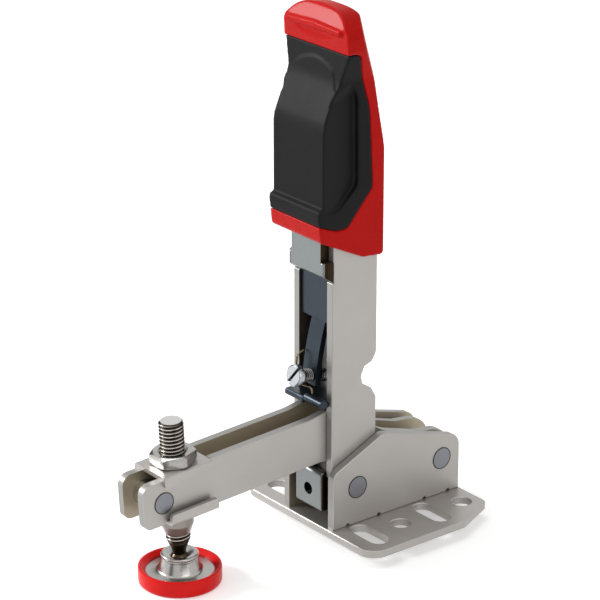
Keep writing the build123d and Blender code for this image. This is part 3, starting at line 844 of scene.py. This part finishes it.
@dataclass
class Spindle:
    """M8 spindle with its upper lock nut: rolled thread, tapered end and ball."""

    arm_pitch: float = 3.0
    arm_pivot: tuple[float, float] = (-19.8, 15.4)
    along: float = 99.2
    crest: float = 4.0
    root: float = 3.38
    pitch: float = 1.25
    chamfer: float = 0.6
    top: float = 42.5
    taper_top: float = 1.8
    neck: float = 2.35
    neck_z: float = -2.5
    ball: float = 3.2
    ball_z: float = -6.4
    nut_low: float = 28.2
    nut_height: float = 4.0
    nut_across_flats: float = 13.0
    nut_bore: float = 4.05

    def rod(self) -> bpy.types.Object:
        """Threaded rod with a chamfered top and a tapered lower end.

        Returns:
            The rod on the Z axis.
        """
        wide = self.crest + 0.05
        thread = Thread(self.crest, self.root, self.pitch, self.neck_z, self.top)
        return thread.build("threaded_spindle", [
            (0.0, self.neck_z), (self.neck, self.neck_z), (wide, self.taper_top),
            (wide, self.top - self.chamfer), (wide - self.chamfer, self.top), (0.0, self.top),
        ])

    def foot(self) -> bpy.types.Object:
        """Core of the taper, neck and ball below the thread.

        Returns:
            The core on the Z axis.
        """
        neck, low = self.neck, self.ball_z
        points = [(0.0, self.taper_top + 2.0), (self.root - 0.05, self.taper_top + 2.0)]
        points += [(self.root - 0.1, self.taper_top - 1.0), (neck - 0.02, self.neck_z)]
        first, last, steps = 42, 180, 12
        for step in range(steps + 1):
            turn = math.radians(first + (last - first) * step / steps)
            points.append((self.ball * math.sin(turn), low + self.ball * math.cos(turn)))
        return Bench.lathe("spindle_foot", points, 48)

    def nut(self) -> bpy.types.Object:
        """Hexagon nut with turned chamfers and a countersunk bore.

        Returns:
            The nut on the Z axis.
        """
        corner = self.nut_across_flats / math.sqrt(3)
        low, high = self.nut_low, self.nut_low + self.nut_height
        hexagon = [
            (corner * math.cos(math.radians(60 * turn + 30)), corner * math.sin(math.radians(60 * turn + 30)))
            for turn in range(6)
        ]
        piece = Bench.slab("hexagon_nut", hexagon, Axis.Z, low - 1.0, high + 1.0)
        face, rim, turned_edge = self.nut_across_flats / 2 - 0.25, corner + 0.02, 0.75
        turned = Bench.lathe("nut_turning", [
            (0.0, low), (face, low), (rim, low + turned_edge), (rim, high - turned_edge), (face, high),
            (0.0, high),
        ])
        Bench.combine(piece, turned, "INTERSECT")
        sink = 0.7
        wide = self.nut_bore + sink + 1
        bore = Bench.lathe("nut_bore", [
            (0.0, low - 1), (wide, low - 1), (self.nut_bore, low + sink), (self.nut_bore, high - sink),
            (wide, high + 1), (0.0, high + 1),
        ])
        Bench.combine(piece, bore, "DIFFERENCE")
        Bench.modify(piece, "BEVEL", width=0.12, segments=2, limit_method="ANGLE", angle_limit=0.5)
        return piece

    def place(self, piece: bpy.types.Object) -> None:
        """Moves a piece from the spindle's own axis to its place in the arm, in metres.

        Args:
            piece: The object.
        """
        Bench.move(piece, 0.0, (self.along, 0.0, 0.0))
        Bench.move(piece, self.arm_pitch, (self.arm_pivot[0], 0.0, self.arm_pivot[1]))
        Bench.to_metres(piece)
        Bench.smooth(piece, 28.0)

    def build(self, finishes: Finishes) -> list[bpy.types.Object]:
        """Spindle and nut, placed and finished.

        Args:
            finishes: The finishes by name.

        Returns:
            The two pieces.
        """
        rod, foot, nut = self.rod(), self.foot(), self.nut()
        Bench.focus(rod)
        foot.select_set(True)
        bpy.ops.object.join()
        for piece, node, finish in ((rod, "spindle", "spindle_thread"), (nut, "upper_nut", "bright_plated")):
            self.place(piece)
            finishes.dress(piece, finish)
            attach(piece, node)
            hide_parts(node)
        return [rod, nut]


@dataclass
class SwivelPad:
    """Turned cup and disc round the ball, and the red cap snapped over the disc."""

    centre_x: float
    cup_rim: float = 6.1
    cup_mouth: float = 4.3
    cup_base: float = 6.9
    cup_high: float = 6.3
    ball: float = 3.3
    ball_z: float = 3.82
    disc: float = 11.6
    disc_high: float = 0.3
    disc_low: float = -0.9
    cap: float = 13.45
    cap_lip: float = 12.55
    cap_mouth: float = 11.05
    cap_high: float = 2.0
    cap_low: float = -3.8
    cap_gap: float = 0.02
    roll: float = 0.65

    def cup(self) -> bpy.types.Object:
        """Cup with a rolled rim and a flared foot on its disc.

        Returns:
            The cup on the Z axis.
        """
        rim, high, base = self.cup_rim, self.cup_high, self.cup_base
        points = [(0.0, self.disc_low), (self.disc, self.disc_low), (self.disc, self.disc_high)]
        points += [(base + 0.9, self.disc_high), (base + 0.35, self.disc_high + 0.25)]
        points.append((base, self.disc_high + 0.8))
        points += [(rim - 0.5, high - 1.9), (rim - 0.25, high - 1.55)]
        roll, steps = self.roll, 8
        for step in range(steps + 1):
            turn = math.radians(-60 + 150 * step / steps)
            points.append((rim - roll + roll * math.cos(turn), high - roll + roll * math.sin(turn)))
        points.append((self.cup_mouth + 0.2, high))
        for step in range(steps + 1):
            turn = math.radians(62 + 118 * step / steps)
            points.append((self.ball * math.sin(turn), self.ball_z + self.ball * math.cos(turn)))
        points[-1] = (0.0, points[-1][1])
        return Bench.lathe("swivel_cup", points)

    def ring(self) -> bpy.types.Object:
        """Moulded cap: flat sole, upright wall and a thin lip that slopes to the disc.

        Returns:
            The cap on the Z axis.
        """
        cap, low, high, lip = self.cap, self.cap_low, self.cap_high, self.cap_lip
        gap = self.cap_gap
        return Bench.lathe("pad_moulding", [
            (0.0, low), (cap - 1.3, low), (cap - 0.6, low + 0.15), (cap - 0.15, low + 0.6), (cap, low + 1.3),
            (cap, high - 0.5), (cap - 0.12, high - 0.15), (cap - 0.4, high), (lip + 0.15, high),
            (lip - 0.12, high - 0.15), (self.cap_mouth, self.disc_high + 0.4),
            (self.cap_mouth, self.disc_high + gap), (self.disc + gap, self.disc_high + gap),
            (self.disc + gap, self.disc_low - gap), (0.0, self.disc_low - gap),
        ], 96)

    def build(self, finishes: Finishes) -> list[bpy.types.Object]:
        """Cup and cap, placed and finished.

        Args:
            finishes: The finishes by name.

        Returns:
            The two pieces.
        """
        cup, ring = self.cup(), self.ring()
        for piece, node, body, finish, slot in (
            (cup, "swivel_foot", "foot", "bright_plated", "bright_steel"),
            (ring, "pad_cap", "pad", "red_pad", "pad_red"),
        ):
            Bench.move(piece, 0.0, (self.centre_x, 0.0, 0.0))
            Bench.to_metres(piece)
            Bench.smooth(piece, 40.0)
            finishes.dress(piece, finish)
            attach(piece, body)
            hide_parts(node)
        return [cup, ring]


@dataclass
class ForceScrew:
    """Slotted cheese-head screw with a threaded shank, in the handle's channel."""

    front: tuple[float, float] = (33.1, 54.85)
    lean: float = 12.5
    head: float = 3.7
    head_high: float = 2.2
    shank: float = 2.25
    reach: float = 13.8
    thread_deep: float = 0.42
    pitch: float = 0.8
    overlap: float = 0.3
    slot_wide: float = 1.1
    slot_deep: float = 1.1
    slot_turn: float = -35.0

    def build(self, finishes: Finishes) -> list[bpy.types.Object]:
        """Head, slot and thread, placed and finished.

        Args:
            finishes: The finishes by name.

        Returns:
            The one piece, in a list.
        """
        head, high = self.head, self.head_high
        piece = Bench.lathe("cheese_head", [
            (0.0, -high), (head - 0.2, -high), (head, -high + 0.2), (head, -0.55), (head - 0.16, -0.2),
            (head - 0.5, 0.0), (0.0, 0.0),
        ])
        along = Vector((math.cos(math.radians(self.slot_turn)), math.sin(math.radians(self.slot_turn))))
        across = Vector((-along.y, along.x)) * self.slot_wide / 2
        ends = along * 2 * head
        corners = [tuple(ends + across), tuple(-ends + across), tuple(-ends - across), tuple(ends - across)]
        Bench.combine(piece, Bench.slab("slot", corners, Axis.Z, -self.slot_deep, 1.0), "DIFFERENCE")
        thread = Thread(
            self.shank, self.shank - self.thread_deep, self.pitch, -self.reach, -high + self.overlap, 24)
        rod = thread.build("screw_thread", [
            (0.0, -self.reach), (self.shank - 0.5, -self.reach), (self.shank + 0.02, -self.reach + 0.5),
            (self.shank + 0.02, -high + self.overlap), (0.0, -high + self.overlap),
        ])
        Bench.focus(piece)
        rod.select_set(True)
        bpy.ops.object.join()
        piece.name = "slotted_screw"
        piece.data.name = "slotted_screw"
        Bench.move(piece, 90 - self.lean, (self.front[0], 0.0, self.front[1]))
        Bench.to_metres(piece)
        Bench.smooth(piece, 30.0)
        finishes.dress(piece, "screw_thread")
        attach(piece, "force_screw")
        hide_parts("force_screw")
        return [piece]


@dataclass
class RivetSeams:
    """Dark ring round each flush rivet, where the plate's countersink shows."""

    half_wide: float = 0.16
    proud: float = 0.03

    def seam(self, rivet: str, index: int) -> bpy.types.Object:
        """Ring at one end of a rivet.

        Args:
            rivet: Name of the rivet's node.
            index: 0 for the end at -Y, 1 for the end at +Y.

        Returns:
            The ring, in metres.
        """
        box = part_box(rivet)
        radius = (box[1][2] - box[0][2]) / 2 / MM
        near, far = radius - self.half_wide, radius + self.half_wide
        piece = Bench.lathe(f"{rivet}_seam_{index}", [
            (near, -self.proud), (far, -self.proud), (far, self.proud), (near, self.proud),
            (near, -self.proud),
        ])
        centre = [(box[0][axis] + box[1][axis]) / 2 / MM for axis in (0, 2)]
        Bench.move(piece, 0.0, (centre[0], box[index][1] / MM, centre[1]), 90.0)
        Bench.to_metres(piece)
        return piece

    def build(self, finishes: Finishes) -> list[bpy.types.Object]:
        """Rings of the base's and the arm's rivets, each on its own body.

        Args:
            finishes: The finishes by name.

        Returns:
            The rings.
        """
        rings = []
        for rivet, body in (("link_rivet", "base"), ("arm_rivet", "base"), ("arm_front_rivet", "arm")):
            for index in (0, 1):
                ring = self.seam(rivet, index)
                finishes.dress(ring, "dark_seam")
                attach(ring, body)
                rings.append(ring)
        return rings


@dataclass
class Grip:
    """Red moulded grip with a black soft inlay over its front and sides."""

    half: float = 12.7
    waist: float = 13.0
    head: float = 16.2
    front: float = 32.8
    rear: float = 6.2
    low: float = 94.9
    top: float = 177.0
    brow: float = 171.0
    neck: float = 154.0
    swell: float = 140.0
    recess: float = 1.8
    inlay_depth: float = 3.8
    inlay_low: float = 108.4
    inlay_high: float = 163.2
    trim_z: float = 154.1
    trim_slope: float = 12.5
    trim_turn: float = 38.5
    scoop_depth: float = 2.5
    scoop_low: float = 112.4
    scoop_high: float = 158.0
    scoop_flare: tuple[float, float] = (4.5, 12.0)
    pad_step: float = 0.45
    ridge_z: float = 169.3
    ridge_x: float = 25.3
    ridge_half: float = 13.2
    hollow_depth: float = 1.4
    hollow_drop: float = 4.6
    voxel: float = 0.34
    soften: int = 11

    def side_outline(self, inset: float) -> list[tuple[float, float]]:
        """Side (x, z) outline, with the front below the head drawn in by an inset.

        Args:
            inset: Distance in millimetres.

        Returns:
            The outline's points.
        """
        front, rear = self.front - inset, self.rear
        return rounded_outline([
            (rear, self.low - 0.9, 1.4), (rear + 8.5, self.low, 3.0), (front - 1.0, self.low + 8.3, 1.5),
            (front, 112.2, 0.8), (front - 0.2, 113.6, 0.5), (front - self.recess, 114.2, 0.6),
            (front - self.recess, self.swell, 14.0), (front - 7.6, self.neck, 14.0),
            (front - 8.9, self.brow - 8.0, 6.0), (self.front - 8.5, self.brow, 2.5),
            (self.front - 11.3, self.top, 2.5), (rear + 9.7, self.top - 1.0, 2.5),
            (rear + 8.6, self.brow, 4.0), (rear + 4.9, self.neck + 1.0, 30.0),
            (rear, self.swell - 10.0, 30.0),
        ])

    def front_outline(self) -> list[tuple[float, float]]:
        """Front (y, z) outline.

        Returns:
            The outline's points.
        """
        right = [
            (self.half, self.low - 5.0, 0.0), (self.half, self.swell + 3.0, 10.0),
            (self.waist, self.neck, 8.0), (self.head, self.brow - 7.0, 4.0),
            (self.head, self.brow - 1.5, 5.0), (11.0, self.top - 2.0, 12.0),
        ]
        left = [(-y, z, radius) for y, z, radius in reversed(right)]
        return rounded_outline(right + [(0.0, self.top, 38.0)] + left, 8)

    def trim(self, piece: bpy.types.Object) -> None:
        """Slanting flats that trim the two rear corners of the head.

        Args:
            piece: The grip's solid.
        """
        out, rise = math.radians(self.trim_turn), math.radians(self.trim_slope)
        for side in (1, -1):
            away = Vector((
                -math.cos(out) * math.cos(rise), side * math.sin(out) * math.cos(rise), math.sin(rise)))
            corner = Vector((self.rear + 5.0, side * self.half, self.trim_z))
            Bench.focus(piece)
            bpy.ops.object.mode_set(mode="EDIT")
            bpy.ops.mesh.select_all(action="SELECT")
            bpy.ops.mesh.bisect(plane_co=corner, plane_no=away, use_fill=True, clear_outer=True)
            Bench.outward()

    def body(self, name: str, inset: float = 0.0) -> bpy.types.Object:
        """Solid of the whole grip.

        Args:
            name: Name of the new object.
            inset: How far its front is drawn in, in millimetres.

        Returns:
            The solid.
        """
        reach = self.head + 1.0
        piece = Bench.slab(name, self.side_outline(inset), Axis.Y, -reach, reach)
        across = Bench.slab("grip_across", self.front_outline(), Axis.X, self.rear - 1, self.front + 1)
        Bench.combine(piece, across, "INTERSECT")
        self.trim(piece)
        return piece

    def core(self) -> bpy.types.Object:
        """Red body that stays under the inlay, a plain block the inlay's depth below the surface.

        Returns:
            The block.
        """
        front, wide = self.front - self.recess - self.inlay_depth, self.half - self.inlay_depth
        beyond = 3.0
        outline = [
            (self.rear - beyond, self.low - beyond), (front, self.low - beyond), (front, self.swell - 2.0),
            (front - 5.8, self.neck), (front - 7.1, self.top + beyond),
            (self.rear - beyond, self.top + beyond),
        ]
        return Bench.slab("grip_core", outline, Axis.Y, -wide, wide)

    def scoop(self, side: int) -> bpy.types.Object:
        """Finger hollow in one flank: deepest at its rear wall, running out at the front edge.

        Args:
            side: 1 for the left flank, -1 for the right one.

        Returns:
            The hollow as a cutting tool.
        """
        far, edge = self.front + 6.0, self.front - self.recess
        outline = rounded_outline([
            (22.8, self.scoop_high, 2.0), (17.2, 148.0, 8.0), (16.9, 119.2, 4.0),
            (24.8, self.scoop_low, 3.0), (far, self.scoop_low, 0.0), (far, self.scoop_high, 0.0),
        ])
        start, end = sorted((side * (self.half - 4), side * (self.half + 8)))
        piece = Bench.slab("grip_scoop", outline, Axis.Y, start, end)
        plan = [
            (15.0, side * (self.half - self.scoop_depth)), (edge + 0.4, side * (self.half + 0.05)),
            (far + 1.0, side * (self.half + 1.2)), (far + 1.0, side * (self.half + 9)),
            (15.0, side * (self.half + 9)),
        ]
        wedge = Bench.slab("scoop_plan", plan, Axis.Z, 105.0, self.neck - 6.0)
        out, rise = self.scoop_flare
        flare = Vector((0.0, side * out, rise))
        Bench.focus(wedge)
        bpy.ops.object.mode_set(mode="EDIT")
        bpy.ops.mesh.select_all(action="DESELECT")
        bpy.ops.object.mode_set(mode="OBJECT")
        for face in wedge.data.polygons:
            face.select = face.normal.z > 0.9
        bpy.ops.object.mode_set(mode="EDIT")
        bpy.ops.mesh.extrude_region_move(TRANSFORM_OT_translate={"value": flare})
        Bench.outward()
        Bench.combine(piece, wedge, "INTERSECT")
        return piece

    def zone(self, gap: float) -> bpy.types.Object:
        """Region that the inlay fills, drawn in by half the seam.

        Args:
            gap: Distance in millimetres by which its edge is drawn in.

        Returns:
            The region as a solid.
        """
        far = self.front + 6.0
        outline = rounded_outline([
            (31.8, self.inlay_low + gap, 0.0), (far, self.inlay_low + 0.8 + gap, 0.0),
            (far, self.inlay_high - gap, 0.0), (21.4, self.inlay_high - gap, 0.0),
            (18.6 + gap, self.inlay_high - 0.8 - gap, 2.0), (12.4 + gap, 144.0, 20.0),
            (10.9 + gap, 117.5, 2.5), (16.5 + gap, 111.3 + gap, 6.0), (21.0, 106.0 + gap, 2.5),
            (25.5, 106.0 + gap, 3.0),
        ])
        reach = self.head + 2.0
        return Bench.slab("inlay_zone", outline, Axis.Y, -reach, reach)

    def brow_groove(self) -> bpy.types.Object:
        """Shallow step above the arched top of the raised front pad.

        Returns:
            The step as a cutting tool.
        """
        reach = self.head + 3.0
        outline = rounded_outline([
            (-reach, 151.0, 0.0), (-11.6, 151.5, 1.0), (-8.6, 157.6, 5.0), (0.0, 160.2, 10.0),
            (8.6, 157.6, 5.0), (11.6, 151.5, 1.0), (reach, 151.0, 0.0), (reach, self.inlay_high - 0.06, 0.0),
            (-reach, self.inlay_high - 0.06, 0.0),
        ])
        piece = Bench.slab("brow_groove", outline, Axis.X, 21.5, self.front + 4.0)
        Bench.combine(piece, self.body("groove_floor", self.pad_step), "DIFFERENCE")
        return piece

    def thumb_hollow(self) -> bpy.types.Object:
        """Crescent hollow under the thumb ridge.

        Returns:
            The hollow as a cutting tool.
        """
        Bench.clear()
        bpy.ops.mesh.primitive_uv_sphere_add(segments=96, ring_count=48, radius=1.0)
        piece = bpy.context.object
        piece.name = "thumb_hollow"
        piece.scale = (self.hollow_depth, self.ridge_half + 1.0, self.hollow_drop)
        piece.location = (self.front - 8.5 + 0.6, 0.0, self.ridge_z)
        bpy.ops.object.transform_apply(location=True, rotation=True, scale=True)
        bpy.ops.object.mode_set(mode="EDIT")
        bpy.ops.mesh.select_all(action="SELECT")
        bpy.ops.mesh.bisect(
            plane_co=(0.0, 0.0, self.ridge_z), plane_no=(0.0, 0.0, 1.0), use_fill=True, clear_outer=True)
        Bench.outward()
        return piece

    def ridge(self) -> bpy.types.Object:
        """Thumb ledge across the front of the head.

        Returns:
            The ledge as a solid.
        """
        wide, low = self.ridge_half, self.ridge_z - 0.4
        outline = rounded_outline([
            (-wide, low, 0.4), (wide, low, 0.4), (wide, low + 1.6, 0.6), (0.0, low + 2.2, 40.0),
            (-wide, low + 1.6, 0.6),
        ])
        return Bench.slab("thumb_ridge", outline, Axis.X, 18.0, self.ridge_x)

    def refine(self, piece: bpy.types.Object) -> None:
        """Even fine mesh with its edges softened as the moulding's are.

        Args:
            piece: The object, in millimetres.
        """
        Bench.modify(piece, "REMESH", mode="VOXEL", voxel_size=self.voxel)
        Bench.modify(piece, "SMOOTH", factor=0.5, iterations=self.soften)
        Bench.to_metres(piece)
        Bench.smooth(piece, 60.0)

    def build(self, finishes: Finishes) -> list[bpy.types.Object]:
        """Shell and inlay, each in its finish and on the handle.

        Args:
            finishes: The finishes by name.

        Returns:
            The two pieces.
        """
        outer = self.body("grip_body")
        for side in (1, -1):
            Bench.combine(outer, self.scoop(side), "DIFFERENCE")
        Bench.combine(outer, self.thumb_hollow(), "DIFFERENCE")
        Bench.combine(outer, self.ridge(), "UNION")
        inlay = Bench.copy(outer, "soft_inlay")
        Bench.combine(inlay, self.brow_groove(), "DIFFERENCE")
        Bench.combine(inlay, self.zone(0.06), "INTERSECT")
        Bench.combine(inlay, self.core(), "DIFFERENCE")
        recess = self.zone(0.0)
        Bench.combine(recess, self.core(), "DIFFERENCE")
        Bench.combine(outer, recess, "DIFFERENCE")
        outer.name = "grip_moulding"
        outer.data.name = "grip_moulding"
        for piece, node, finish, slot in (
            (outer, "grip_shell", "red_grip", "grip_red"),
            (inlay, "grip_inlay", "black_overmould", "grip_black"),
        ):
            self.refine(piece)
            finishes.dress(piece, finish)
            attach(piece, "handle")
            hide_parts(node)
        return [outer, inlay]


@dataclass
class Studio:
    """Pale floor, soft lights, dark reflection cards and the camera."""

    target: Point = (30.19, 0.0, 80.27)
    toward_camera: Point = (0.5776, 0.7294, 0.3666)
    distance: float = 886.98
    focal_px: float = 2789.6
    frame_px: float = 600.0
    sensor: float = 36.0
    floor_lift: float = 0.40
    fill: float = 0.34
    card_colour: tuple[float, float, float, float] = (0.09, 0.07, 0.05, 1.0)
    lamps: tuple[tuple[str, Point, float, float], ...] = (
        ("key_light", (0.88, -0.92, 0.62), 0.32, 15.0),
        ("camera_light", (0.2, 1.3, 0.6), 0.9, 5.5),
        ("top_light", (0.2, -0.3, 1.5), 0.9, 8.0),
    )
    cards: tuple[tuple[str, float, float, tuple[float, float]], ...] = (
        ("dark_card_left", -86.0, 0.20, (0.12, 0.16)),
        ("dark_card_front", 4.0, 0.22, (0.06, 0.12)),
        ("dark_card_camera", 62.0, 0.12, (0.09, 0.05)),
    )

    def camera(self) -> None:
        """Camera at the photograph's viewing angle."""
        data = bpy.data.cameras.new("camera")
        data.sensor_width = self.sensor
        data.lens = self.focal_px / self.frame_px * self.sensor
        data.clip_start = 0.01
        data.clip_end = 20.0
        camera = bpy.data.objects.new("camera", data)
        bpy.context.scene.collection.objects.link(camera)
        back = Vector(self.toward_camera)
        camera.location = (Vector(self.target) + back * self.distance) * MM
        camera.rotation_euler = (-back).to_track_quat("-Z", "Y").to_euler()
        bpy.context.scene.camera = camera

    def floor(self, low: float) -> None:
        """Wide pale floor under the clamp: white to the camera and in reflections, with its shadow.

        Args:
            low: Height of the floor in metres.
        """
        Bench.clear()
        bpy.ops.mesh.primitive_plane_add(size=6.0, location=(0, 0, low))
        floor = bpy.context.object
        floor.name = "studio_floor"
        shader = Shader("studio_floor")
        shader.surface.inputs["Base Color"].default_value = (0.90, 0.90, 0.90, 1.0)
        shader.surface.inputs["Roughness"].default_value = 0.9
        shader.surface.inputs["Specular IOR Level"].default_value = 0.0
        shader.surface.inputs["Emission Color"].default_value = (1.0, 1.0, 1.0, 1.0)
        lift = shader.span(self.seen_ray(shader.nodes, shader.links), 0.0, self.floor_lift)
        shader.links.new(lift, shader.surface.inputs["Emission Strength"])
        floor.data.materials.append(shader.material)
        floor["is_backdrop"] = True

    @staticmethod
    def seen_ray(nodes: bpy.types.Nodes, links: bpy.types.NodeLinks) -> bpy.types.NodeSocket:
        """Mask of the rays that come straight from the camera, a reflection or glass.

        Args:
            nodes: The tree's nodes.
            links: The tree's links.

        Returns:
            The socket that carries the mask.
        """
        path = nodes.new("ShaderNodeLightPath")
        first = nodes.new("ShaderNodeMath")
        first.operation = "MAXIMUM"
        links.new(path.outputs["Is Camera Ray"], first.inputs[0])
        links.new(path.outputs["Is Glossy Ray"], first.inputs[1])
        both = nodes.new("ShaderNodeMath")
        both.operation = "MAXIMUM"
        links.new(first.outputs["Value"], both.inputs[0])
        links.new(path.outputs["Is Transmission Ray"], both.inputs[1])
        return both.outputs["Value"]

    def card(self, name: str, azimuth: float, away: float, size: tuple[float, float], low: float) -> None:
        """Dark upright card beside the clamp that only reflections see.

        Args:
            name: Name of the card.
            azimuth: Direction from the clamp in degrees from +X towards +Y.
            away: Distance in metres.
            size: Width and height in metres.
            low: Height of its lower edge.
        """
        turn = math.radians(azimuth)
        Bench.clear()
        bpy.ops.mesh.primitive_plane_add(
            size=1.0, location=(0.04 + away * math.cos(turn), away * math.sin(turn), low + size[1] / 2),
            rotation=(math.pi / 2, 0.0, turn + math.pi / 2))
        card = bpy.context.object
        card.name = name
        card.scale = (size[0], size[1], 1.0)
        shader = Shader(name)
        shader.surface.inputs["Base Color"].default_value = self.card_colour
        shader.surface.inputs["Roughness"].default_value = 0.9
        card.data.materials.append(shader.material)
        card.visible_camera = False
        card.visible_diffuse = False
        card.visible_shadow = False
        card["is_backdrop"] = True

    def lamp(self, name: str, place: Point, size: float, power: float) -> None:
        """Soft square light aimed at the clamp.

        Args:
            name: Name of the light.
            place: Where it stands, in metres.
            size: Side of its square, in metres.
            power: Power in watts.
        """
        data = bpy.data.lights.new(name, "AREA")
        data.shape = "SQUARE"
        data.size = size
        data.energy = power
        lamp = bpy.data.objects.new(name, data)
        bpy.context.scene.collection.objects.link(lamp)
        lamp.location = place
        aim = Vector((0.03, 0.0, 0.08)) - Vector(place)
        lamp.rotation_euler = aim.to_track_quat("-Z", "Y").to_euler()

    def world(self) -> None:
        """White surroundings for the camera and reflections, and a soft level of fill."""
        world = bpy.data.worlds.new("studio_world")
        bpy.context.scene.world = world
        world.use_nodes = True
        nodes, links = world.node_tree.nodes, world.node_tree.links
        level = nodes.new("ShaderNodeMapRange")
        level.inputs["To Min"].default_value = self.fill
        level.inputs["To Max"].default_value = 1.0
        links.new(self.seen_ray(nodes, links), level.inputs["Value"])
        back = nodes["Background"]
        back.inputs["Color"].default_value = (1.0, 1.0, 1.0, 1.0)
        links.new(level.outputs["Result"], back.inputs["Strength"])

    def build(self, low: float) -> None:
        """Sets the whole studio.

        Args:
            low: Height of the floor in metres.
        """
        self.camera()
        self.floor(low)
        self.world()
        for name, place, size, power in self.lamps:
            self.lamp(name, place, size, power)
        for name, azimuth, away, size in self.cards:
            self.card(name, azimuth, away, size, low)
        bpy.context.scene.view_settings.view_transform = "Standard"


def main() -> None:
    """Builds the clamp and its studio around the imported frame."""
    logging.basicConfig(level=logging.INFO, format="%(message)s")
    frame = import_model()
    cad_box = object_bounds()
    finishes = Finishes()
    CadFinish().apply(frame["nodes"], finishes)
    LOG.info("dressed %d carried-over parts", len(frame["nodes"]))
    pad_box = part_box("pad_cap")
    pad_centre = (pad_box[0][0] + pad_box[1][0]) / 2 / MM
    pieces = Spindle().build(finishes)
    pieces += SwivelPad(pad_centre).build(finishes)
    pieces += ForceScrew().build(finishes)
    pieces += RivetSeams().build(finishes)
    pieces += Grip().build(finishes)
    for piece in pieces:
        LOG.info("%s: %d faces", piece.name, len(piece.data.polygons))
    Studio().build(cad_box[0][2])


if __name__ == "__main__":
    main()
